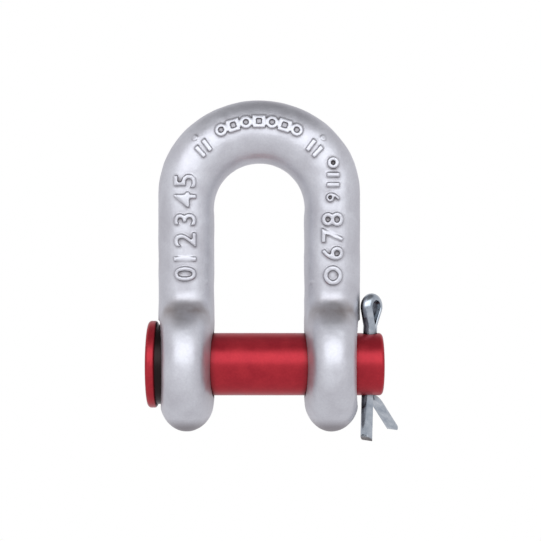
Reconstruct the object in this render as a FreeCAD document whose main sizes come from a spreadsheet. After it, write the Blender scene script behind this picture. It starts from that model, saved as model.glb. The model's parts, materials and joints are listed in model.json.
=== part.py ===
"""Dee shackle with a round pin and a split cotter, millimetres.

The origin is on the pin's axis, midway between the two eyes. X runs along the pin
towards the cotter, Z points up to the crown and Y points away from the marked face.
"""

import FreeCAD, Part
import math
import os
import Sketcher

doc = FreeCAD.newDocument("dee_shackle")

# ---------------------------------------------------------------- driving dimensions
DIMENSIONS = {
    # bow: the forged U with an eye at the end of each leg
    "jaw": 36.6,              # clear width between the eyes
    "bar_width": 22.8,        # leg, measured across the opening
    "bar_depth": 22.4,        # leg, front to back
    "inner_centre": 63.5,     # height of the centre of the inside curve
    "outer_centre": 69.5,     # height where the outside curve leaves the straight leg
    "crown_top": 107.5,       # top of the crown
    "crown_depth": 22.6,      # crown, front to back
    "bar_bottom": 12.0,       # the bar ends inside the eye
    "eye_radius": 27.3,       # side view of the eye: a round rim about the pin
    "eye_half": 11.1,         # half of the eye at the parting line
    "eye_end": 13.0,          # length of the rounded end, seen from the front
    "eye_nose": 0.79,         # front rounding of the eye as a share of eye_half
    "neck_nose": 0.96,        # the same where the eye has shrunk into the bar
    "neck_depth": 10.9,       # half of the neck, front to back
    "eye_blend": 10.0,        # hollow between the eye and the bar, seen from the side
    "neck_length": 4.0,       # straight part above the hollow
    "trim_land": 0.25,        # flash trimmed off the inside of the bend
    "hole": 27.0,             # hole through both eyes
    "seat_plane": 38.0,       # machined outer face of each eye
    "head_seat": 18.0,        # radius of the machined face under the head
    "cotter_seat": 18.0,      # radius of the machined face beside the cotter
    "seat_depth": 10.0,       # the machining clears everything outside those faces
    # pin
    "pin_dia": 25.4,
    "head_dia": 35.3,
    "head_face": -45.6,       # outer face of the head
    "head_seat_face": -41.4,  # inner face of the head
    "head_round": 1.3,
    "collar_dia": 32.4,       # shoulder under the head
    "collar_face": -38.3,     # the shoulder ends just short of the eye
    "pin_end": 50.2,
    "pin_end_round": 1.5,
    "cotter_hole": 6.9,
    "cotter_station": 44.9,   # place of the cotter hole along the pin
    # cotter
    "wire_radius": 2.8,       # half-round wire
    "wire_gap": 0.05,         # from the middle to the flat of each half
    "cotter_turn": 47.0,      # turn of the cotter about its hole
    "cotter_lean": 1.5,       # lean of the cotter in its loose hole
    "loop_half": 2.7,         # half of the clear width inside the cotter's eye
    "loop_offset": 0.5,       # the eye stands to the side of the bent leg
    "loop_centre": 23.4,      # height of the centre of the cotter's eye
    "loop_start": 16.0,       # where the two halves meet under the eye
    "straight_tip": -31.2,    # end of the straight leg
    "bend_start": -11.9,      # where the other leg starts to bend
    "bend_radius": 3.3,
    "bend_angle": 68.0,       # spread of the leg right under the pin
    "relax_radius": 12.0,     # and the gentle curve back towards the straight leg
    "relax_angle": 23.0,
    "bent_length": 14.6,      # straight part after the bends
    "tip_bevel": 3.0,
}

sheet = doc.addObject("Spreadsheet::Sheet", "Dimensions")
for row, (name, value) in enumerate(DIMENSIONS.items(), start=1):
    sheet.set(f"A{row}", name)
    sheet.set(f"B{row}", str(value))
    sheet.setAlias(f"B{row}", name)
doc.recompute()
dim = DIMENSIONS


def cells(expression):
    """Turn each alias written as <alias> into its cell of the sheet."""
    for name in sorted(dim, key=len, reverse=True):
        expression = expression.replace(f"<{name}>", f"Dimensions.{name}")
    return expression


def bind(obj, **expressions):
    """Bind properties to expressions whose aliases are written as <alias>."""
    for name, expression in expressions.items():
        obj.setExpression(name, cells(expression))


def origin_plane(body, role):
    """The body's own origin plane."""
    return next(f for f in body.Origin.OriginFeatures if f.Role == role)


def new_body(label):
    body = doc.addObject("PartDesign::Body", label)
    body.Label = label
    return body


def new_sketch(body, label, role):
    """A sketch on one of the body's origin planes."""
    sketch = body.newObject("Sketcher::SketchObject", label)
    sketch.AttachmentSupport = (origin_plane(body, role), [""])
    sketch.MapMode = "FlatFace"
    return sketch


def fix(sketch, kind, *where, to, name):
    """Add a named size constraint and bind it to the sheet."""
    sketch.addConstraint(Sketcher.Constraint(kind, *where))
    index = sketch.ConstraintCount - 1
    sketch.renameConstraint(index, name)
    sketch.setExpression(f"Constraints.{name}", cells(to))


vector = FreeCAD.Vector
x_axis = vector(1, 0, 0)
y_axis = vector(0, 1, 0)
z_axis = vector(0, 0, 1)


# ------------------------------------------------------------------------------ bow
def oval_section(label, height, depth, width):
    """Level section of an eye: two flanks and two round noses, front and back.

    The half depth and half width are expressions. The flanks bulge because the forging
    tapers both ways from its parting line, which is the plane Y = 0.
    """
    sketch = doc.addObject("Sketcher::SketchObject", label)
    sketch.setExpression("Placement.Base.x", cells("<jaw> / 2 + <eye_half>"))
    sketch.setExpression("Placement.Base.z", cells(height))
    slope = "(<neck_nose> - <eye_nose>) * 2"
    share = f"(max(<eye_nose>; min(<neck_nose>; <neck_nose> - {slope} * ({depth} / {width} - 1))))"
    nose = f"({width} * {share})"
    reach = f"({depth} - {nose})"
    flank = f"(({width} ^ 2 + {reach} ^ 2 - {nose} ^ 2) / (2 * ({width} - {nose})))"

    def arc(x, y, radius, middle, half):
        """Arc by its centre, radius and the direction of its middle, in degrees."""
        circle = Part.Circle(vector(x, y, 0), z_axis, radius)
        start, end = math.radians(middle - half), math.radians(middle + half)
        return sketch.addGeometry(Part.ArcOfCircle(circle, start, end))

    back = arc(0, 9, 9, 90, 75)
    left = arc(30, 0, 41, 180, 15)
    front = arc(0, -9, 9, -90, 75)
    right = arc(-30, 0, 41, 0, 15)
    add = sketch.addConstraint
    add(Sketcher.Constraint("Tangent", back, 2, left, 1))
    add(Sketcher.Constraint("Tangent", left, 2, front, 1))
    add(Sketcher.Constraint("Tangent", front, 2, right, 1))
    add(Sketcher.Constraint("Coincident", right, 2, back, 1))
    add(Sketcher.Constraint("PointOnObject", back, 3, -2))
    add(Sketcher.Constraint("PointOnObject", right, 3, -1))
    add(Sketcher.Constraint("Symmetric", back, 3, front, 3, -1))
    add(Sketcher.Constraint("Symmetric", left, 3, right, 3, -2))
    fix(sketch, "Radius", back, 9, to=nose, name="nose")
    fix(sketch, "DistanceY", -1, 1, back, 3, 9, to=reach, name="reach")
    fix(sketch, "Radius", right, 41, to=flank, name="flank")
    return sketch


def make_eye():
    """One eye, lofted through level ovals from its lowest point up into the bar."""
    neck = "(<neck_depth> + <eye_blend>)"
    rise = f"(sqrt((<eye_radius> + <eye_blend>) ^ 2 - {neck} ^ 2))"
    lean = f"(atan2({rise}; {neck}))"
    sections = []

    def add(height, depth, width="<eye_half>"):
        sections.append(oval_section(f"eye_section_{len(sections):02d}", height, depth, width))

    for turn in (8, 18, 30, 44):
        height = f"(-<eye_radius> * cos({turn}))"
        end = f"(<eye_radius> * cos({turn}) - (<eye_radius> - <eye_end>))"
        width = f"(<eye_half> * sqrt(1 - ({end} / <eye_end>) ^ 2))"
        add(height, f"(<eye_radius> * sin({turn}))", width)
    for turn in range(60, 136, 15):
        add(f"(-<eye_radius> * cos({turn}))", f"(<eye_radius> * sin({turn}))")
    for part in (1.0, 0.67, 0.33, 0.0):
        add(f"({rise} - <eye_blend> * sin({lean} * {part}))",
            f"({neck} - <eye_blend> * cos({lean} * {part}))")
    add(f"({rise} + <neck_length>)", "<neck_depth>")
    return loft_through("eye", sections)


def bar_section(label, angle, height=None):
    """One elliptic section of the bar, reaching from its inside to its outside curve.

    The angle is measured round the crown from straight up. A section with a height is
    level and lies on the leg on that side.
    """
    sketch = doc.addObject("Sketcher::SketchObject", label)
    inner = "(<jaw> / 2)"
    outer = "(<jaw> / 2 + <bar_width>)"
    rise = "(<crown_top> - <outer_centre>)"
    side = 1 if angle > 0 else -1
    if height is None:
        sine, cosine = f"sin({angle})", f"cos({angle})"
        across = f"(({outer} - {inner}) * {sine})"
        up = f"(<outer_centre> - <inner_centre> + ({rise} - {inner}) * {cosine})"
        centre_x = f"(({outer} + {inner}) / 2 * {sine})"
        centre_z = f"((<outer_centre> + <inner_centre> + ({rise} + {inner}) * {cosine}) / 2)"
        half = f"(sqrt(({across}) ^ 2 + ({up}) ^ 2) / 2)"
        depth = f"((<bar_depth> + (<crown_depth> - <bar_depth>) * {cosine}) / 2)"
        tilt = f"(-atan2({up}; {across}))"
    else:
        centre_x = f"({side} * ({outer} + {inner}) / 2)"
        centre_z = height
        half = "(<bar_width> / 2)"
        depth = "(<bar_depth> / 2)"
        tilt = "0" if side > 0 else "(-180)"
    sketch.setExpression("Placement.Base.x", cells(centre_x))
    sketch.setExpression("Placement.Base.z", cells(centre_z))
    sketch.Placement.Rotation = FreeCAD.Rotation(vector(0, 1, 0), 10)
    sketch.setExpression("Placement.Rotation.Angle", cells(tilt))
    curve = sketch.addGeometry(Part.Ellipse(vector(12, 0, 0), vector(0, 11, 0), vector()))
    sketch.exposeInternalGeometry(curve)
    major, minor = curve + 1, curve + 2
    sketch.addConstraint(Sketcher.Constraint("Coincident", curve, 3, -1, 1))
    sketch.addConstraint(Sketcher.Constraint("Horizontal", major))
    fix(sketch, "Distance", major, 24, to=f"2 * {half}", name="across")
    fix(sketch, "Distance", minor, 22, to=f"2 * {depth}", name="depth")
    return sketch


def loft_through(label, sections):
    loft = doc.addObject("Part::Loft", label)
    loft.Sections = sections
    loft.Solid = True
    return loft


def cutter(label, radius, length, axis, **place):
    """Cylinder to cut away, starting at its place and running along its axis."""
    tool = doc.addObject("Part::Cylinder", label)
    bind(tool, Radius=radius, Height=length)
    tool.Placement.Rotation = FreeCAD.Rotation(z_axis, axis)
    for letter, expression in place.items():
        bind(tool, **{f"Placement.Base.{letter}": expression})
    return tool


def make_bow():
    """Two straight legs, the crown and two eyes in one forging, then the machined cuts."""
    angles = range(-90, 91, 15)
    crown = [bar_section(f"crown_section_{n:02d}", a) for n, a in enumerate(angles)]
    left_foot = bar_section("left_foot", -90, "<bar_bottom>")
    right_foot = bar_section("right_foot", 90, "<bar_bottom>")
    bar = [
        loft_through("left_leg", [left_foot, crown[0]]),
        loft_through("crown", crown),
        loft_through("right_leg", [crown[-1], right_foot]),
    ]

    eye = make_eye()
    other_eye = doc.addObject("Part::Mirroring", "other_eye")
    other_eye.Source = eye
    other_eye.Normal = x_axis

    forging = doc.addObject("Part::MultiFuse", "forging")
    forging.Shapes = [*bar, eye, other_eye]

    cutters = doc.addObject("Part::MultiFuse", "bow_cutters")
    cutters.Shapes = [
        cutter("pin_hole", "<hole> / 2", "4 * <jaw>", x_axis, x="-2 * <jaw>"),
        cutter("head_seat_cut", "<head_seat>", "<seat_depth>", -x_axis, x="-<seat_plane>"),
        cutter("cotter_seat_cut", "<cotter_seat>", "<seat_depth>", x_axis, x="<seat_plane>"),
        cutter("inside_trim", "<jaw> / 2 + <trim_land>", "2 * <crown_depth>", y_axis,
               y="-<crown_depth>", z="<inner_centre>"),
    ]
    bow = doc.addObject("Part::Cut", "bow")
    bow.Base = forging
    bow.Tool = cutters
    bow.Label = "bow"
    return bow


# ------------------------------------------------------------------------------ pin
def make_pin():
    """Round pin turned in one piece with its flat head and shoulder, and a cross hole."""
    body = new_body("pin")
    sketch = new_sketch(body, "pin_outline", "XZ_Plane")
    radius = dim["pin_dia"] / 2
    head = dim["head_dia"] / 2
    collar = dim["collar_dia"] / 2
    corners = [
        (dim["head_face"], 0),
        (dim["head_face"], head),
        (dim["head_seat_face"], head),
        (dim["head_seat_face"], collar),
        (dim["collar_face"], collar),
        (dim["collar_face"], radius),
        (dim["pin_end"], radius),
        (dim["pin_end"], 0),
    ]
    for start, end in zip(corners, corners[1:] + corners[:1]):
        sketch.addGeometry(Part.LineSegment(vector(*start, 0), vector(*end, 0)))
    sides = len(corners)
    for n in range(sides):
        sketch.addConstraint(Sketcher.Constraint("Coincident", n, 2, (n + 1) % sides, 1))
    for n in range(0, sides, 2):
        sketch.addConstraint(Sketcher.Constraint("Vertical", n))
        sketch.addConstraint(Sketcher.Constraint("Horizontal", n + 1))
    sketch.addConstraint(Sketcher.Constraint("PointOnObject", 0, 1, -1))
    places = {"head_face": 0, "head_seat_face": 2, "collar_face": 4, "pin_end": 6}
    for name, side in places.items():
        fix(sketch, "DistanceX", -1, 1, side, 1, dim[name], to=f"<{name}>", name=name)
    fix(sketch, "DistanceY", -1, 1, 1, 1, head, to="<head_dia> / 2", name="head_radius")
    fix(sketch, "DistanceY", -1, 1, 3, 1, collar, to="<collar_dia> / 2", name="collar_radius")
    fix(sketch, "DistanceY", -1, 1, 5, 1, radius, to="<pin_dia> / 2", name="pin_radius")
    doc.recompute()

    turned = body.newObject("PartDesign::Revolution", "turned_pin")
    turned.Profile = sketch
    turned.ReferenceAxis = (sketch, ["H_Axis"])
    turned.Angle = 360
    doc.recompute()

    def ring_edges(shape, place, ring_radius):
        """The circular edges at a place along the pin."""
        names = []
        for number, edge in enumerate(shape.Edges, start=1):
            box = edge.BoundBox
            flat = box.XLength < 0.01 and abs(box.XMin - place) < 0.01
            if flat and abs(box.ZMax - ring_radius) < 0.05:
                names.append(f"Edge{number}")
        return names

    rounded = body.newObject("PartDesign::Fillet", "head_edges")
    rounded.Base = (turned, ring_edges(turned.Shape, dim["head_face"], head)
                    + ring_edges(turned.Shape, dim["head_seat_face"], head))
    rounded.setExpression("Radius", cells("<head_round>"))
    doc.recompute()
    end = body.newObject("PartDesign::Fillet", "pin_end_edge")
    end.Base = (rounded, ring_edges(rounded.Shape, dim["pin_end"], radius))
    end.setExpression("Radius", cells("<pin_end_round>"))
    doc.recompute()

    circle = new_sketch(body, "cross_hole_circle", "XY_Plane")
    place = vector(dim["cotter_station"], 0, 0)
    circle.addGeometry(Part.Circle(place, z_axis, dim["cotter_hole"] / 2))
    circle.addConstraint(Sketcher.Constraint("PointOnObject", 0, 3, -1))
    fix(circle, "DistanceX", -1, 1, 0, 3, place.x, to="<cotter_station>", name="station")
    fix(circle, "Diameter", 0, dim["cotter_hole"], to="<cotter_hole>", name="bore")
    doc.recompute()
    cross = body.newObject("PartDesign::Pocket", "cross_hole")
    cross.Profile = circle
    cross.SideType = "Symmetric"
    cross.setExpression("Length", cells("2 * <pin_dia>"))
    doc.recompute()
    return body


# --------------------------------------------------------------------------- cotter
def wire_path(body):
    """Middle line of the wire's flat face: straight leg, eye, and the bent leg."""
    path = new_sketch(body, "wire_path", "XZ_Plane")
    gap = dim["wire_gap"]
    loop = dim["loop_half"]
    side = dim["loop_offset"]
    top = dim["loop_centre"]
    meet = dim["loop_start"]
    radius = dim["bend_radius"]
    bend = math.radians(dim["bend_angle"])
    relax_radius = dim["relax_radius"]
    relax = math.radians(dim["relax_angle"])
    bend_top = dim["bend_start"]
    length = dim["bent_length"]

    def line(x1, z1, x2, z2):
        return path.addGeometry(Part.LineSegment(vector(x1, z1, 0), vector(x2, z2, 0)))

    def arc(x, z, size, start, end):
        circle = Part.Circle(vector(x, z, 0), z_axis, size)
        return path.addGeometry(Part.ArcOfCircle(circle, start, end))

    def tie(kind, *where):
        path.addConstraint(Sketcher.Constraint(kind, *where))

    def touch(x, way):
        """Direction from the eye's centre to where a flare from (x, meet) touches it."""
        reach = math.hypot(x - side, meet - top)
        return math.atan2(meet - top, x - side) + way * math.acos(loop / reach)

    def rim(direction):
        """Point of the eye's arc in a direction from its centre."""
        return side + loop * math.cos(direction), top + loop * math.sin(direction)

    left_touch = touch(-gap, -1) + 2 * math.pi
    right_touch = touch(gap, 1)
    end = bend - relax
    turn_x = gap + radius * (1 - math.cos(bend))
    turn_z = bend_top - radius * math.sin(bend)
    relax_x = turn_x - relax_radius * math.cos(bend)
    relax_z = turn_z - relax_radius * math.sin(bend)
    run_x = relax_x + relax_radius * math.cos(end)
    run_z = relax_z + relax_radius * math.sin(end)

    straight = line(-gap, dim["straight_tip"], -gap, meet)
    left_flare = line(-gap, meet, *rim(left_touch))
    eye = arc(side, top, loop, right_touch, left_touch)
    right_flare = line(*rim(right_touch), gap, meet)
    other = line(gap, meet, gap, bend_top)
    turn = arc(gap + radius, bend_top, radius, math.pi, math.pi + bend)
    back = arc(relax_x, relax_z, relax_radius, end, bend)
    bent = line(run_x, run_z, run_x + length * math.sin(end), run_z - length * math.cos(end))
    tie("Vertical", straight)
    tie("Vertical", other)
    tie("Coincident", straight, 2, left_flare, 1)
    tie("Coincident", right_flare, 2, other, 1)
    tie("Tangent", left_flare, 2, eye, 2)
    tie("Tangent", eye, 1, right_flare, 1)
    tie("Tangent", other, 2, turn, 1)
    tie("Tangent", turn, 2, back, 2)
    tie("Tangent", back, 1, bent, 1)
    tie("Symmetric", left_flare, 1, right_flare, 2, -2)
    fix(path, "DistanceX", left_flare, 1, right_flare, 2, 2 * gap, to="2 * <wire_gap>", name="gap")
    fix(path, "Radius", eye, loop, to="<loop_half>", name="loop")
    fix(path, "DistanceX", -1, 1, eye, 3, side, to="<loop_offset>", name="loop_side")
    fix(path, "DistanceY", -1, 1, eye, 3, top, to="<loop_centre>", name="loop_height")
    fix(path, "DistanceY", -1, 1, straight, 2, meet, to="<loop_start>", name="meet_height")
    fix(path, "DistanceY", straight, 1, -1, 1, -dim["straight_tip"],
        to="-<straight_tip>", name="tip_depth")
    fix(path, "DistanceY", other, 2, -1, 1, -bend_top, to="-<bend_start>", name="bend_depth")
    fix(path, "Radius", turn, radius, to="<bend_radius>", name="bend_size")
    fix(path, "Angle", turn, bend, to="<bend_angle>", name="bend")
    fix(path, "Radius", back, relax_radius, to="<relax_radius>", name="relax_size")
    fix(path, "Angle", back, relax, to="<relax_angle>", name="relax")
    fix(path, "Distance", bent, length, to="<bent_length>", name="bent_reach")
    return path


def wire_section(body):
    """Half disc of the wire at the tip of the straight leg."""
    section = new_sketch(body, "wire_section", "XY_Plane")
    section.setExpression("AttachmentOffset.Base.z", cells("<straight_tip>"))
    section.setExpression("AttachmentOffset.Base.x", cells("-<wire_gap>"))
    radius = dim["wire_radius"]
    circle = Part.Circle(vector(), z_axis, radius)
    back = section.addGeometry(Part.ArcOfCircle(circle, math.pi / 2, 3 * math.pi / 2))
    flat = section.addGeometry(Part.LineSegment(vector(0, -radius, 0), vector(0, radius, 0)))
    section.addConstraint(Sketcher.Constraint("Coincident", back, 3, -1, 1))
    section.addConstraint(Sketcher.Constraint("Coincident", back, 2, flat, 1))
    section.addConstraint(Sketcher.Constraint("Coincident", flat, 2, back, 1))
    section.addConstraint(Sketcher.Constraint("Vertical", flat))
    section.addConstraint(Sketcher.Constraint("PointOnObject", back, 3, flat))
    fix(section, "Radius", back, radius, to="<wire_radius>", name="size")
    return section


def make_cotter():
    """One length of half-round wire, folded flat to flat with an eye at the fold."""
    body = new_body("cotter_wire")
    path = wire_path(body)
    section = wire_section(body)
    doc.recompute()
    wire = body.newObject("PartDesign::AdditivePipe", "wire")
    wire.Profile = section
    wire.Spine = (path, [f"Edge{n}" for n in range(1, 9)])
    wire.Transition = "Right corner"
    doc.recompute()

    cut = new_sketch(body, "tip_cut", "XZ_Plane")
    tip = dim["straight_tip"]
    left = -dim["wire_gap"] - dim["wire_radius"]
    rise = tip + dim["tip_bevel"]
    corners = [(-dim["wire_gap"], tip), (left, rise), (left, tip)]
    for start, end in zip(corners, corners[1:] + corners[:1]):
        cut.addGeometry(Part.LineSegment(vector(*start, 0), vector(*end, 0)))
    for n in range(3):
        cut.addConstraint(Sketcher.Constraint("Coincident", n, 2, (n + 1) % 3, 1))
    cut.addConstraint(Sketcher.Constraint("Vertical", 1))
    cut.addConstraint(Sketcher.Constraint("Horizontal", 2))
    fix(cut, "DistanceX", 0, 1, -1, 1, dim["wire_gap"], to="<wire_gap>", name="flat")
    fix(cut, "DistanceX", 2, 1, 2, 2, dim["wire_radius"], to="<wire_radius>", name="width")
    fix(cut, "DistanceY", 2, 1, -1, 1, -tip, to="-<straight_tip>", name="tip")
    fix(cut, "DistanceY", 1, 2, 1, 1, dim["tip_bevel"], to="<tip_bevel>", name="rise")
    doc.recompute()
    bevel = body.newObject("PartDesign::Pocket", "tip_bevel")
    bevel.Profile = cut
    bevel.SideType = "Symmetric"
    bevel.setExpression("Length", cells("3 * <wire_radius>"))
    doc.recompute()
    body.setExpression("Placement.Rotation.Angle", cells("<cotter_turn>"))

    cotter = doc.addObject("Part::Compound", "cotter")
    cotter.Label = "cotter"
    cotter.Links = [body]
    cotter.Placement.Rotation = FreeCAD.Rotation(vector(0, 1, 0), 1)
    cotter.setExpression("Placement.Rotation.Angle", cells("<cotter_lean>"))
    cotter.setExpression("Placement.Base.x", cells("<cotter_station>"))
    return cotter


parts = [make_bow(), make_pin(), make_cotter()]
doc.recompute()

# -------------------------------------------------------------------- check and write
for obj in doc.Objects:
    if {"Invalid", "Error"} & set(obj.State):
        raise RuntimeError(f"{obj.Label} failed: {obj.State}")
os.makedirs("parts", exist_ok=True)
for part in parts:
    shape = part.Shape
    if shape.isNull() or not shape.isValid() or len(shape.Solids) != 1:
        raise RuntimeError(f"{part.Label} isn't one valid solid")
    shape.exportStep(f"parts/{part.Label}.step")
    print(part.Label, "written as one valid solid")
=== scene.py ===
"""Looks of the dee shackle: galvanised forged bow, red painted pin and bright zinc cotter.

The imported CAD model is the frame. X runs along the pin, Z points up to the crown and the
marked face looks towards -Y. Lengths below are in millimetres and MM turns them into metres.
"""

import json
import math

import bmesh
import bpy
from mathutils import Matrix, Vector


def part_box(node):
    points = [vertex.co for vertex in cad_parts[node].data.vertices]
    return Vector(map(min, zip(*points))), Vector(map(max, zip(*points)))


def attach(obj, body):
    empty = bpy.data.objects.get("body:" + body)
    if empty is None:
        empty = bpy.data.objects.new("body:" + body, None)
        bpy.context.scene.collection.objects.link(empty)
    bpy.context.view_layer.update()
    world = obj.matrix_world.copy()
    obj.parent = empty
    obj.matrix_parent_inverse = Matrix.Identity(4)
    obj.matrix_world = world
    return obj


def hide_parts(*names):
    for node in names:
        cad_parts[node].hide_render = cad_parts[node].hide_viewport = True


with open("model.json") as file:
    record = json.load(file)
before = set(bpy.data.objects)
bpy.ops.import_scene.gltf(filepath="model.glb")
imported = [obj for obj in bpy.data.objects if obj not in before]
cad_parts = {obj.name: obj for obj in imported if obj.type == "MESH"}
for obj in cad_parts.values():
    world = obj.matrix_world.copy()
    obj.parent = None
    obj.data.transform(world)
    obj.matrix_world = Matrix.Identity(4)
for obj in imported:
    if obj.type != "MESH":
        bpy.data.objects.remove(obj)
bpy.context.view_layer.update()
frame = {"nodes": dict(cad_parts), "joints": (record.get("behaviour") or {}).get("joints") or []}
scene = bpy.context.scene
MM = 0.001

# ------------------------------------------------------------------ driving dimensions
pin_low, pin_high = (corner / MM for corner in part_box("pin"))
bow_low, bow_high = (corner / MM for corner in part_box("bow"))
twist = next(joint for joint in frame["joints"] if joint["name"] == "cotter_twist")

CROWN_TOP = bow_high.z
BAR_OUTSIDE = bow_high.x
BAR_WIDTH = 22.8                       # leg across the opening
BAR_DEPTH = 22.4                       # leg front to back
BAR_INSIDE = BAR_OUTSIDE - BAR_WIDTH
BAR_MIDDLE = BAR_OUTSIDE - BAR_WIDTH / 2
INNER_CENTRE = 63.5                    # height of the centre of the inside curve
OUTER_CENTRE = 69.5                    # height where the outside curve leaves the leg

HEAD_FACE = pin_low.x
HEAD_RADIUS = pin_high.z
HEAD_THICK = 4.2                       # from its outer face to its inner face
COLLAR_RADIUS = 16.2                   # shoulder under the head
COLLAR_FACE = -38.3
PIN_RADIUS = 12.7
PIN_END = pin_high.x
CROSS_HOLE = 3.45                      # radius
COTTER_STATION = twist["pos_m"][0] / MM
COTTER_LEAN = math.asin(twist["axis"][0])
COTTER_TURN = math.radians(47)         # turn of the cotter about its hole

WIRE_RADIUS = 2.8                      # half-round wire
WIRE_GAP = 0.05                        # from the middle to the flat of each half
LOOP_HALF = 2.7                        # half of the clear width inside the eye
LOOP_OFFSET = 0.5                      # the eye stands to the side of the bent leg
LOOP_CENTRE = 23.4
LOOP_START = 16.0                      # where the two halves meet under the eye
STRAIGHT_TIP = -31.2
BEND_START = -11.9
BEND_RADIUS = 3.3
BEND_ANGLE = math.radians(68)          # spread of the leg right under the pin
RELAX_RADIUS = 12.0                    # and the gentle curve back
RELAX_ANGLE = math.radians(23)
BENT_LENGTH = 14.6

MARK_HEIGHT = 1.0                      # how far the raised marks stand proud
MARK_ROOT = 2.5                        # how deep they are buried in the bar
VOXEL = 0.3
SKIN_WAVE = 9.0                        # width and depth of the forging's unevenness
SKIN_DEPTH = 0.35
NECK_LOW = 18.5                        # the hollow between an eye and its leg
NECK_HIGH = 31.0
NECK_REACH = 6.0                       # further up where no mark is in the way
HOLLOW_LOW = 19.0                      # where that hollow is darker: grime and painted shade
HOLLOW_HIGH = 25.5
HOLLOW_SIDE = 9.5                      # it is on the front and back only
NECK_CLEAR = 7.0                       # the marked front keeps its lowest mark sharp
NECK_PASSES = 140


# ------------------------------------------------------------------------ small helpers
def add_object(name, mesh):
    ob = bpy.data.objects.new(name, mesh)
    scene.collection.objects.link(ob)
    return ob


def mesh_from(name, verts, faces):
    mesh = bpy.data.meshes.new(name)
    mesh.from_pydata(verts, [], faces)
    mesh.update()
    return mesh


def baked(ob):
    """The object's mesh with its modifiers applied."""
    graph = bpy.context.evaluated_depsgraph_get()
    return bpy.data.meshes.new_from_object(ob.evaluated_get(graph))


def shade_smooth(mesh, angle=40):
    for polygon in mesh.polygons:
        polygon.use_smooth = True
    mesh.set_sharp_from_angle(angle=math.radians(angle))


# ----------------------------------------------------------------------- raised marks
def crown_frame(angle):
    """Centre, outward direction and half width of the bar at an angle round the crown."""
    rise = CROWN_TOP - OUTER_CENTRE
    outer_x = BAR_OUTSIDE * math.sin(angle)
    outer_z = OUTER_CENTRE + rise * math.cos(angle)
    inner_x = BAR_INSIDE * math.sin(angle)
    inner_z = INNER_CENTRE + BAR_INSIDE * math.cos(angle)
    out = Vector((outer_x - inner_x, 0, outer_z - inner_z))
    centre = Vector((outer_x + inner_x, 0, outer_z + inner_z)) / 2
    return centre, out.normalized(), out.length / 2


def front_point(centre, out, half, across, height):
    """Point on the rounded front of the bar, moved off the surface by height."""
    lean = max(-0.98, min(0.98, across / half))
    depth = BAR_DEPTH / 2 * math.sqrt(1 - lean * lean)
    return (centre + out * across - Vector((0, depth + height, 0))) * MM


def on_leg(side, flip=1):
    """Row of marks up a leg. Their tops point outwards, or inwards when flip is -1."""

    def place(along, up, height):
        centre = Vector((side * BAR_MIDDLE, 0, along))
        return front_point(centre, Vector((side, 0, 0)), BAR_WIDTH / 2, up * flip, height)
    return place


def on_crown(angle, across):
    """Row of marks round the crown, with its middle at an angle and its tops outwards."""
    row_radius = BAR_MIDDLE + across

    def place(along, up, height):
        centre, out, half = crown_frame(angle + along / row_radius)
        return front_point(centre, out, half, across + up, height)
    return place


def numeral(text, height):
    """Flat mesh of a numeral in the built-in font: bottom-left at the origin, in mm."""
    curve = bpy.data.curves.new("numeral", "FONT")
    curve.body = text
    curve.extrude = 0.5
    curve.resolution_u = 6
    curve.offset = 0.015
    ob = add_object("numeral", curve)
    bpy.context.view_layer.update()
    mesh = baked(ob)
    bpy.data.objects.remove(ob)
    low = [min(v.co[i] for v in mesh.vertices) for i in (0, 1)]
    tall = max(v.co[1] for v in mesh.vertices) - low[1]
    for v in mesh.vertices:
        v.co = Vector(((v.co[0] - low[0]) / tall * height,
                       (v.co[1] - low[1]) / tall * height, 1 if v.co[2] > 0 else -1))
    return mesh


def block(outline, hole=None):
    """Prism from an outline of (along, up) points, with an optional hole of equal count."""
    count = len(outline)
    rings = [outline] if hole is None else [outline, hole]
    verts = [(x, y, side) for side in (-1, 1) for ring in rings for x, y in ring]
    step = count * len(rings)
    faces = []
    for k in range(count):
        n = (k + 1) % count
        faces.append((k, n, step + n, step + k))
        if hole is not None:
            a, b = count + k, count + n
            faces.append((b, a, step + a, step + b))
            faces.append((k, a, b, n))
            faces.append((step + k, step + n, step + b, step + a))
    if hole is None:
        faces.append(tuple(reversed(range(count))))
        faces.append(tuple(range(step, step + count)))
    return mesh_from("block", verts, faces)


def ring(size, thick, sides=32):
    """Upright ring, or a square one when it has four sides."""
    turn = math.pi / 4 if sides == 4 else 0
    fit = math.sqrt(2) if sides == 4 else 1

    def loop(radius):
        angles = [2 * math.pi * k / sides + turn for k in range(sides)]
        return [(radius * fit * math.cos(a), size / 2 + radius * fit * math.sin(a))
                for a in angles]

    return block(loop(size / 2), loop(size / 2 - thick))


def bar(width, size):
    """Upright bar standing on the line."""
    return block([(-width / 2, 0), (width / 2, 0), (width / 2, size), (-width / 2, size)])


def wrap(mesh, place, along=0.0, up=0.0, height=MARK_HEIGHT, middle=False):
    """Lay a flat mark on the bow. Its back face stays buried in the bar."""
    shift = 0.0
    if middle:
        xs = [v.co[0] for v in mesh.vertices]
        shift = -(min(xs) + max(xs)) / 2
    for v in mesh.vertices:
        off = height if v.co[2] > 0 else -MARK_ROOT
        v.co = place(v.co[0] + shift + along, v.co[1] + up, off)
    return mesh


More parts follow.
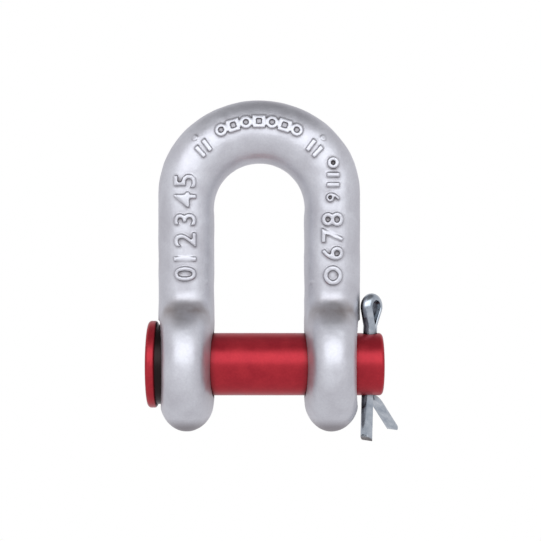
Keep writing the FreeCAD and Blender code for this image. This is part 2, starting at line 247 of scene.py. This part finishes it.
def raised_marks():
    """Generic numerals and plain shapes in the places where a forging carries its marks."""
    marks = []
    left = on_leg(-1)
    for text, along in zip("012345", (34.0, 42.0, 47.6, 56.2, 63.4, 71.4)):
        marks.append(wrap(numeral(text, 8.8), left, along, up=-4.6))

    right = on_leg(1, flip=-1)
    marks.append(wrap(ring(7.6, 1.7), right, 36.2, up=-3.6))
    for text, along in zip("678", (42.4, 49.4, 55.8)):
        marks.append(wrap(numeral(text, 8.7), right, along, up=-4.0))
    marks.append(wrap(numeral("9", 5.6), right, 65.6, up=-2.6))
    marks.append(wrap(bar(1.7, 5.0), right, 72.4, up=-2.4))
    marks.append(wrap(bar(1.7, 5.0), right, 76.4, up=-2.4))
    marks.append(wrap(ring(4.6, 1.4), right, 81.2, up=-2.2))

    count, pitch = 7, 5.3
    crown = on_crown(0, 3.2)
    for n in range(count):
        sides = 4 if n % 2 else 32
        marks.append(wrap(ring(5.2, 1.45, sides), crown, (n - (count - 1) / 2) * pitch, up=-2.6))

    for side in (-1, 1):
        at_45 = on_crown(side * math.radians(46), 1.2)
        for along in (-1.9, 1.9):
            marks.append(wrap(bar(1.8, 5.4), at_45, along, up=-2.7))
        marks.append(wrap(ring(2.2, 1.0, 12), at_45, up=4.6, height=0.6))
    return marks


# -------------------------------------------------------------------------------- bow
def make_bow():
    """The CAD bow and its raised marks merged into one skin with soft forged edges."""
    merged = bmesh.new()
    merged.from_mesh(frame["nodes"]["bow"].data)
    for mark in raised_marks():
        merged.from_mesh(mark)
    mesh = bpy.data.meshes.new("bow_forging")
    merged.to_mesh(mesh)
    merged.free()
    ob = add_object("bow_forging", mesh)
    remesh = ob.modifiers.new("skin", "REMESH")
    remesh.mode = "VOXEL"
    remesh.voxel_size = VOXEL * MM
    remesh.adaptivity = 0.0
    smooth = ob.modifiers.new("soft edges", "SMOOTH")
    smooth.factor = 0.5
    smooth.iterations = 4
    ob.data = baked(ob)
    ob.modifiers.clear()
    necks = ob.vertex_groups.new(name="necks")
    for vertex in ob.data.vertices:
        height = vertex.co.z / MM
        marked = vertex.co.y < -NECK_CLEAR * MM
        top = NECK_HIGH if marked else NECK_HIGH + NECK_REACH
        share = min((height - NECK_LOW) / 2, (top - height) / 3, 1)
        if share > 0:
            necks.add([vertex.index], share, "REPLACE")
    soften = ob.modifiers.new("soft necks", "SMOOTH")
    soften.factor = 0.5
    soften.iterations = NECK_PASSES
    soften.vertex_group = "necks"
    waves = bpy.data.textures.new("forged_skin", "CLOUDS")
    waves.noise_scale = SKIN_WAVE * MM
    waves.noise_depth = 2
    uneven = ob.modifiers.new("forged skin", "DISPLACE")
    uneven.texture = waves
    uneven.mid_level = 0.5
    uneven.strength = SKIN_DEPTH * MM
    ob.data = baked(ob)
    ob.modifiers.clear()
    for polygon in ob.data.polygons:
        polygon.use_smooth = True
    return ob


# -------------------------------------------------------------------------------- pin
def lathe(name, outline, segments=160):
    """Solid of revolution about X from (x, radius) points whose ends are on the axis."""
    verts = [(outline[0][0] * MM, 0, 0)]
    for x, radius in outline[1:-1]:
        for k in range(segments):
            turn = 2 * math.pi * k / segments
            verts.append((x * MM, radius * math.cos(turn) * MM, radius * math.sin(turn) * MM))
    verts.append((outline[-1][0] * MM, 0, 0))
    last = len(verts) - 1
    rows = len(outline) - 2
    faces = []
    for k in range(segments):
        n = (k + 1) % segments
        faces.append((0, 1 + k, 1 + n))
        for row in range(rows - 1):
            a = 1 + row * segments
            b = a + segments
            faces.append((a + k, b + k, b + n, a + n))
        end = 1 + (rows - 1) * segments
        faces.append((last, end + n, end + k))
    return mesh_from(name, verts, faces)


def corner(x, radius, size_x, size_r, steps=8):
    """Quarter round from a face at x to a rim at a radius; the sizes say which way it goes."""
    turns = [math.pi / 2 * k / steps for k in range(steps + 1)]
    return [(x + size_x * (1 - math.cos(t)), radius + size_r * (1 - math.sin(t))) for t in turns]


def make_pin():
    """Headed pin with rounded edges and the cross hole for the cotter."""
    crown = 0.5
    dome = [(HEAD_FACE + crown * (r / HEAD_RADIUS) ** 2, r) for r in (0, 4, 8, 12, 15)]
    head_edge = corner(HEAD_FACE + crown, HEAD_RADIUS, 1.4, -1.4)
    seat = HEAD_FACE + HEAD_THICK
    under_head = corner(seat, HEAD_RADIUS, -1.0, -1.0)[::-1]
    collar = [(seat, COLLAR_RADIUS)] + corner(COLLAR_FACE, COLLAR_RADIUS, -0.4, -0.4)[::-1]
    root = corner(COLLAR_FACE, PIN_RADIUS, 0.3, 0.3)
    shank = [(x, PIN_RADIUS) for x in (-20, 0, 20, 40)]
    end = corner(PIN_END, PIN_RADIUS, -1.5, -1.5)[::-1]
    end_face = [(PIN_END, 6), (PIN_END, 0)]
    outline = dome + head_edge + under_head + collar + root + shank + end + end_face
    mesh = lathe("pin_painted", outline)
    ob = add_object("pin_painted", mesh)

    drill = bmesh.new()
    bmesh.ops.create_cone(drill, cap_ends=True, segments=64, radius1=CROSS_HOLE * MM,
                          radius2=CROSS_HOLE * MM, depth=40 * MM)
    bmesh.ops.translate(drill, vec=(COTTER_STATION * MM, 0, 0), verts=drill.verts)
    drill_mesh = bpy.data.meshes.new("drill")
    drill.to_mesh(drill_mesh)
    drill.free()
    tool = add_object("drill", drill_mesh)
    cut = ob.modifiers.new("cross hole", "BOOLEAN")
    cut.object = tool
    cut.operation = "DIFFERENCE"
    cut.solver = "EXACT"
    bpy.context.view_layer.update()
    ob.data = baked(ob)
    ob.modifiers.clear()
    bpy.data.objects.remove(tool)
    shade_smooth(ob.data, 35)
    return ob


# ----------------------------------------------------------------------------- cotter
def wire_path():
    """Middle line of the wire's flat face in (u, z), from one tip to the other."""

    def touch(u, way):
        """Direction from the eye's centre to where a flare from (u, LOOP_START) touches it."""
        away, down = u - LOOP_OFFSET, LOOP_START - LOOP_CENTRE
        return math.atan2(down, away) + way * math.acos(LOOP_HALF / math.hypot(away, down))

    def arc(u, z, radius, start, end, steps):
        turns = [start + (end - start) * k / steps for k in range(steps + 1)]
        return [(u + radius * math.cos(t), z + radius * math.sin(t)) for t in turns]

    def line(u1, z1, u2, z2, steps):
        shares = [k / steps for k in range(steps)]
        return [(u1 + (u2 - u1) * k, z1 + (z2 - z1) * k) for k in shares]

    points = line(-WIRE_GAP, STRAIGHT_TIP, -WIRE_GAP, LOOP_START, 24)
    points.append((-WIRE_GAP, LOOP_START))
    start, end = touch(-WIRE_GAP, -1) + 2 * math.pi, touch(WIRE_GAP, 1)
    points += arc(LOOP_OFFSET, LOOP_CENTRE, LOOP_HALF, start, end, 32)
    points += line(WIRE_GAP, LOOP_START, WIRE_GAP, BEND_START, 14)
    points += arc(WIRE_GAP + BEND_RADIUS, BEND_START, BEND_RADIUS,
                  math.pi, math.pi + BEND_ANGLE, 10)
    u, z = points[-1]
    back = arc(u - RELAX_RADIUS * math.cos(BEND_ANGLE), z - RELAX_RADIUS * math.sin(BEND_ANGLE),
               RELAX_RADIUS, BEND_ANGLE, BEND_ANGLE - RELAX_ANGLE, 8)
    points += back[1:]
    u, z = points[-1]
    slant = BEND_ANGLE - RELAX_ANGLE
    for k in range(1, 9):
        run = BENT_LENGTH * k / 8
        points.append((u + run * math.sin(slant), z - run * math.cos(slant)))
    return points


def half_round(radius, edge, steps=18):
    """Half-round section as (out, side) points, with its two edges eased."""
    side = math.sqrt((radius - edge) ** 2 - edge ** 2)
    start = math.atan2(side, edge)
    points = []
    for k in range(6):
        turn = math.pi + (start - math.pi) * k / 5
        points.append((edge + edge * math.cos(turn), side + edge * math.sin(turn)))
    for k in range(1, steps):
        turn = start - 2 * start * k / steps
        points.append((radius * math.cos(turn), radius * math.sin(turn)))
    for k in range(6):
        turn = -start - (math.pi - start) * k / 5
        points.append((edge + edge * math.cos(turn), -side + edge * math.sin(turn)))
    return points


def make_cotter():
    """Half-round wire swept along its folded path, then set in the pin's cross hole."""
    path = wire_path()
    section = half_round(WIRE_RADIUS, 0.35)
    count = len(section)
    verts = []
    last = len(path) - 1
    for i, (u, z) in enumerate(path):
        before = Vector(path[max(i - 1, 0)])
        after = Vector(path[min(i + 1, last)])
        run = (after - before).normalized()
        out = Vector((-run.y, run.x))
        for wide, side in section:
            slope = 0.0
            if i == 0:
                slope = 1.0 * wide
            if i == last:
                slope = -0.15 * wide
            x = u + out.x * wide + run.x * slope
            height = z + out.y * wide + run.y * slope
            verts.append((x * MM, side * MM, height * MM))
    faces = []
    for i in range(last):
        for k in range(count):
            n = (k + 1) % count
            a, b = i * count, (i + 1) * count
            faces.append((a + k, a + n, b + n, b + k))
    faces.append(tuple(reversed(range(count))))
    faces.append(tuple(range(last * count, last * count + count)))
    mesh = mesh_from("cotter_wire", verts, faces)
    solid = bmesh.new()
    solid.from_mesh(mesh)
    bmesh.ops.recalc_face_normals(solid, faces=solid.faces)
    solid.to_mesh(mesh)
    solid.free()
    place = (Matrix.Translation((COTTER_STATION * MM, 0, 0))
             @ Matrix.Rotation(COTTER_LEAN, 4, "Y") @ Matrix.Rotation(COTTER_TURN, 4, "Z"))
    mesh.transform(place)
    ob = add_object("cotter_zinc", mesh)
    ease = ob.modifiers.new("tip edges", "BEVEL")
    ease.width = 0.25 * MM
    ease.segments = 2
    ease.limit_method = "ANGLE"
    ease.angle_limit = math.radians(40)
    ob.data = baked(ob)
    ob.modifiers.clear()
    shade_smooth(ob.data, 50)
    return ob


# -------------------------------------------------------------------------- materials
class Shader:
    """Small helper round one material's node tree."""

    def __init__(self, name):
        self.material = bpy.data.materials.new(name)
        self.material.use_nodes = True
        self.tree = self.material.node_tree
        self.surface = self.tree.nodes["Principled BSDF"]
        self.place = self.add("ShaderNodeTexCoord").outputs["Object"]

    def add(self, kind, **settings):
        node = self.tree.nodes.new(kind)
        for name, value in settings.items():
            setattr(node, name, value)
        return node

    def link(self, source, target):
        self.tree.links.new(source, target)

    def noise(self, size_mm, detail=3.0, rough=0.55, warp=0.0):
        """Noise whose features are about size_mm wide."""
        node = self.add("ShaderNodeTexNoise")
        node.inputs["Scale"].default_value = 1 / (size_mm * MM)
        node.inputs["Detail"].default_value = detail
        node.inputs["Roughness"].default_value = rough
        node.inputs["Distortion"].default_value = warp
        self.link(self.place, node.inputs["Vector"])
        return node.outputs["Fac"]

    def between(self, fac, low, high, from_low=0.3, from_high=0.7):
        """Map a 0 to 1 signal between two values."""
        node = self.add("ShaderNodeMapRange")
        node.inputs["From Min"].default_value = from_low
        node.inputs["From Max"].default_value = from_high
        node.inputs["To Min"].default_value = low
        node.inputs["To Max"].default_value = high
        self.link(fac, node.inputs["Value"])
        return node.outputs["Result"]

    def colours(self, fac, *stops):
        """Colour ramp from (position, (r, g, b)) stops."""
        node = self.add("ShaderNodeValToRGB")
        ramp = node.color_ramp
        while len(ramp.elements) < len(stops):
            ramp.elements.new(0.5)
        for element, (position, colour) in zip(ramp.elements, stops):
            element.position = position
            element.color = (*colour, 1)
        self.link(fac, node.inputs["Fac"])
        return node.outputs["Color"]

    def mix(self, fac, a, b, blend="MIX"):
        node = self.add("ShaderNodeMix", data_type="RGBA", blend_type=blend)
        for socket, value in ((node.inputs[0], fac), (node.inputs[6], a), (node.inputs[7], b)):
            if hasattr(value, "links"):
                self.link(value, socket)
            elif isinstance(value, tuple):
                socket.default_value = (*value, 1)
            else:
                socket.default_value = value
        return node.outputs[2]

    def bump(self, height, strength, depth_mm, under=None):
        node = self.add("ShaderNodeBump")
        node.inputs["Strength"].default_value = strength
        node.inputs["Distance"].default_value = depth_mm * MM
        self.link(height, node.inputs["Height"])
        if under is not None:
            self.link(under, node.inputs["Normal"])
        return node.outputs["Normal"]

    def shade_from_occlusion(self, reach_mm, dark=0.25, light=0.80):
        """Ambient occlusion signal that is 1 in the open and falls to 0 where other metal is
        close by; mixed into a colour it paints shade.
        """
        node = self.add("ShaderNodeAmbientOcclusion", samples=8)
        node.inputs["Distance"].default_value = reach_mm * MM
        return self.between(node.outputs["AO"], 0.0, 1.0, dark, light)

    def band(self, axis, start, end, soft=0.15):
        """Signal that is 1 between two places along an axis, with soft ends."""
        node = self.add("ShaderNodeSeparateXYZ")
        self.link(self.place, node.inputs[0])
        place = node.outputs[axis]
        rise = self.between(place, 0.0, 1.0, (start - soft) * MM, (start + soft) * MM)
        fall = self.between(place, 1.0, 0.0, (end - soft) * MM, (end + soft) * MM)
        return self.times(rise, fall)

    def times(self, a, b):
        node = self.add("ShaderNodeMath", operation="MULTIPLY")
        self.link(a, node.inputs[0])
        self.link(b, node.inputs[1])
        return node.outputs[0]

    def set(self, name, value):
        socket = self.surface.inputs[name]
        if hasattr(value, "links"):
            self.link(value, socket)
        else:
            socket.default_value = value


def galvanised():
    """Hot-dip zinc on a forging: satin, faintly mottled, with painted shade in corners and
    hollows and grime with painted shade in the hollow above each eye.
    """
    zinc = Shader("galvanised_zinc")
    patches = zinc.noise(11.0, detail=4.0, warp=0.4)
    grain = zinc.noise(0.8, detail=4.0, rough=0.6)
    base = zinc.colours(patches, (0.32, (0.55, 0.555, 0.59)), (0.68, (0.65, 0.665, 0.70)))
    speck = zinc.colours(grain, (0.35, (0.90, 0.90, 0.91)), (0.62, (1.0, 1.0, 1.0)))
    colour = zinc.mix(0.7, base, speck, "MULTIPLY")
    # Painted shade: ambient occlusion over 11 mm darkens the zinc near the pin, between the legs
    # and in hollows.
    shaded = zinc.mix(zinc.shade_from_occlusion(11.0, 0.45, 0.95), (0.24, 0.225, 0.24), colour)
    # Grime and painted shade: a mottled dark patch on the front and back of the hollow above
    # each eye, standing partly for the dark reflection there.
    middle = zinc.band("Y", -HOLLOW_SIDE, HOLLOW_SIDE, soft=1.5)
    faces = zinc.between(middle, 1.0, 0.0, 0.0, 1.0)
    neck = zinc.times(zinc.band("Z", HOLLOW_LOW, HOLLOW_HIGH, soft=3.0), faces)
    hollow_grime_and_shade = zinc.times(neck, zinc.between(zinc.noise(5.0, detail=4.0), 0.45, 1.0))
    grimed_and_shaded = zinc.mix(hollow_grime_and_shade, shaded, (0.33, 0.30, 0.295))
    # Painted shade: a short ambient occlusion darkens the walls and roots of the raised marks.
    zinc.set("Base Color", zinc.mix(zinc.shade_from_occlusion(1.6, 0.50, 0.97), (0.15, 0.14, 0.145), grimed_and_shaded))
    zinc.set("Metallic", 0.85)
    zinc.set("Roughness", zinc.between(patches, 0.38, 0.48))
    skin = zinc.bump(zinc.noise(4.0, detail=2.0), 0.25, 0.20)
    zinc.set("Normal", zinc.bump(zinc.noise(0.7, detail=3.0), 0.40, 0.07, under=skin))
    return zinc.material


def red_paint():
    """Red paint with a metallic undertone, drifting slightly over the forging under it, with
    painted shade in crevices and a near-black painted shadow on the shoulder under the head.
    """
    paint = Shader("red_paint")
    drift = paint.noise(6.0, detail=4.0)
    fleck = paint.noise(0.9, detail=3.0)
    base = paint.colours(drift, (0.3, (0.36, 0.016, 0.028)), (0.7, (0.44, 0.024, 0.036)))
    shade = paint.colours(fleck, (0.35, (0.86, 0.80, 0.82)), (0.65, (1.0, 1.0, 1.0)))
    colour = paint.mix(0.7, base, shade, "MULTIPLY")
    # Painted shade: ambient occlusion darkens the paint in crevices and where it meets the bow.
    crevice_shade = paint.shade_from_occlusion(4.0)
    painted = paint.mix(crevice_shade, (0.03, 0.010, 0.010), colour)
    # Painted shadow: the shoulder under the head is coloured near black to stand for the shadow
    # in the gap between head and eye.
    shadowed_shoulder = paint.band("X", HEAD_FACE + HEAD_THICK, COLLAR_FACE + 1)
    paint.set("Base Color", paint.mix(shadowed_shoulder, painted, (0.016, 0.007, 0.007)))
    paint.set("Metallic", 0.6)
    paint.set("Specular IOR Level", 0.35)
    paint.set("Roughness", paint.between(drift, 0.30, 0.38))
    peel = paint.bump(paint.noise(1.4, detail=2.0), 0.08, 0.06)
    paint.set("Normal", paint.bump(paint.noise(6.0, detail=1.0), 0.10, 0.2, under=peel))
    return paint.material


def bright_zinc():
    """Bright zinc plate on drawn wire, with fine lengthwise variation and painted shade where
    the wire meets other metal.
    """
    zinc = Shader("bright_zinc")
    drift = zinc.noise(3.0, detail=3.0)
    base = zinc.colours(drift, (0.3, (0.34, 0.39, 0.44)), (0.7, (0.54, 0.59, 0.63)))
    # Painted shade: ambient occlusion darkens the wire where it touches the pin and itself.
    crevice_shade = zinc.shade_from_occlusion(2.5, 0.40, 0.92)
    zinc.set("Base Color", zinc.mix(crevice_shade, (0.10, 0.09, 0.09), base))
    zinc.set("Metallic", 1.0)
    zinc.set("Roughness", zinc.between(drift, 0.16, 0.26))
    zinc.set("Normal", zinc.bump(zinc.noise(0.8, detail=3.0), 0.12, 0.05))
    return zinc.material


def dress(ob, material, node):
    """Give a piece its material and let it stand in for its CAD node."""
    for target in (ob, frame["nodes"][node]):
        target.data.materials.clear()
        target.data.materials.append(material)
    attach(ob, node)
    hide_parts(node)


dress(make_bow(), galvanised(), "bow")
dress(make_pin(), red_paint(), "pin")
dress(make_cotter(), bright_zinc(), "cotter")


# ------------------------------------------------------------------- studio and camera
AMBIENT = (1.0, 0.98, 1.02)
FLOOR_GLOW = 0.80
SIDE_GLOW = 0.78
TOP_GLOW = 0.25
BOX_GLOW = 1.45
CAMERA_PLACE = (4.6, -500.0, 38.2)
SHOWN_WIDTH = 220.8                    # width of the picture at the middle of the object


def glow(tree, strength, colour=(1, 1, 1)):
    """Emission node of an even brightness."""
    node = tree.nodes.new("ShaderNodeEmission")
    node.inputs["Color"].default_value = (*colour, 1)
    node.inputs["Strength"].default_value = strength
    return node


def seen_as_white(tree, output, others):
    """The camera sees plain white, and the object sees what the other shader gives."""
    rays = tree.nodes.new("ShaderNodeLightPath")
    mix = tree.nodes.new("ShaderNodeMixShader")
    tree.links.new(rays.outputs["Is Camera Ray"], mix.inputs["Fac"])
    tree.links.new(others.outputs[0], mix.inputs[1])
    tree.links.new(glow(tree, 1.0).outputs[0], mix.inputs[2])
    tree.links.new(mix.outputs[0], output.inputs["Surface"])


def pale_floor():
    """Wide white sheet just under the tip of the cotter."""
    lowest = min(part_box(node)[0].z for node in frame["nodes"])
    half = 3.0
    corners = [(x * half, y * half, lowest) for x, y in ((-1, -1), (1, -1), (1, 1), (-1, 1))]
    floor = add_object("floor", mesh_from("floor", corners, [(0, 1, 2, 3)]))
    sheet = bpy.data.materials.new("white_sheet")
    sheet.use_nodes = True
    tree = sheet.node_tree
    tree.nodes.clear()
    output = tree.nodes.new("ShaderNodeOutputMaterial")
    seen_as_white(tree, output, glow(tree, FLOOR_GLOW, AMBIENT))
    floor.data.materials.append(sheet)


def soft_world():
    """Dome that is bright at the horizon and dim overhead."""
    world = bpy.data.worlds.new("studio")
    scene.world = world
    world.use_nodes = True
    tree = world.node_tree
    tree.nodes.clear()
    add = tree.nodes.new
    link = tree.links.new
    place = add("ShaderNodeTexCoord")
    split = add("ShaderNodeSeparateXYZ")
    ramp = add("ShaderNodeValToRGB")
    stops = [
        (0.0, FLOOR_GLOW),
        (0.15, SIDE_GLOW),
        (0.70, SIDE_GLOW),
        (0.90, TOP_GLOW),
        (1.0, TOP_GLOW),
    ]
    while len(ramp.color_ramp.elements) < len(stops):
        ramp.color_ramp.elements.new(0.5)
    for element, (position, value) in zip(ramp.color_ramp.elements, stops):
        element.position = position
        element.color = (value * AMBIENT[0], value * AMBIENT[1], value * AMBIENT[2], 1)
    dome = add("ShaderNodeBackground")
    link(place.outputs["Generated"], split.inputs[0])
    link(split.outputs["Z"], ramp.inputs["Fac"])
    link(ramp.outputs["Color"], dome.inputs["Color"])
    seen_as_white(tree, add("ShaderNodeOutputWorld"), dome)


def softbox(name, azimuth, elevation, distance, width, height, brightness, colour):
    """Area light on a sphere round the object. Azimuth 0 is the camera's side."""
    light = bpy.data.lights.new(name, "AREA")
    light.shape = "RECTANGLE"
    light.size = width
    light.size_y = height
    light.color = colour
    light.energy = brightness * math.pi * width * height
    ob = add_object(name, light)
    aim = Vector((0, 0, 35 * MM))
    a, e = math.radians(azimuth), math.radians(elevation)
    away = Vector((math.sin(a) * math.cos(e), -math.cos(a) * math.cos(e), math.sin(e)))
    ob.location = aim + away * distance
    ob.rotation_euler = (-away).to_track_quat("-Z", "Y").to_euler()


def camera():
    """Level view square on the marked face, at the photograph's distance and centre."""
    eye = Vector(CAMERA_PLACE) * MM
    shown = SHOWN_WIDTH * MM
    lens = bpy.data.cameras.new("camera")
    lens.sensor_width = 36
    lens.lens = lens.sensor_width * -eye.y / shown
    ob = add_object("camera", lens)
    ob.location = eye
    ob.rotation_euler = (math.radians(90), 0, 0)
    scene.camera = ob


pale_floor()
soft_world()
softbox("front_box", 0, 27, 0.65, 1.4, 0.52, BOX_GLOW, (0.97, 0.99, 1.03))
camera()
scene.view_settings.view_transform = "Standard"
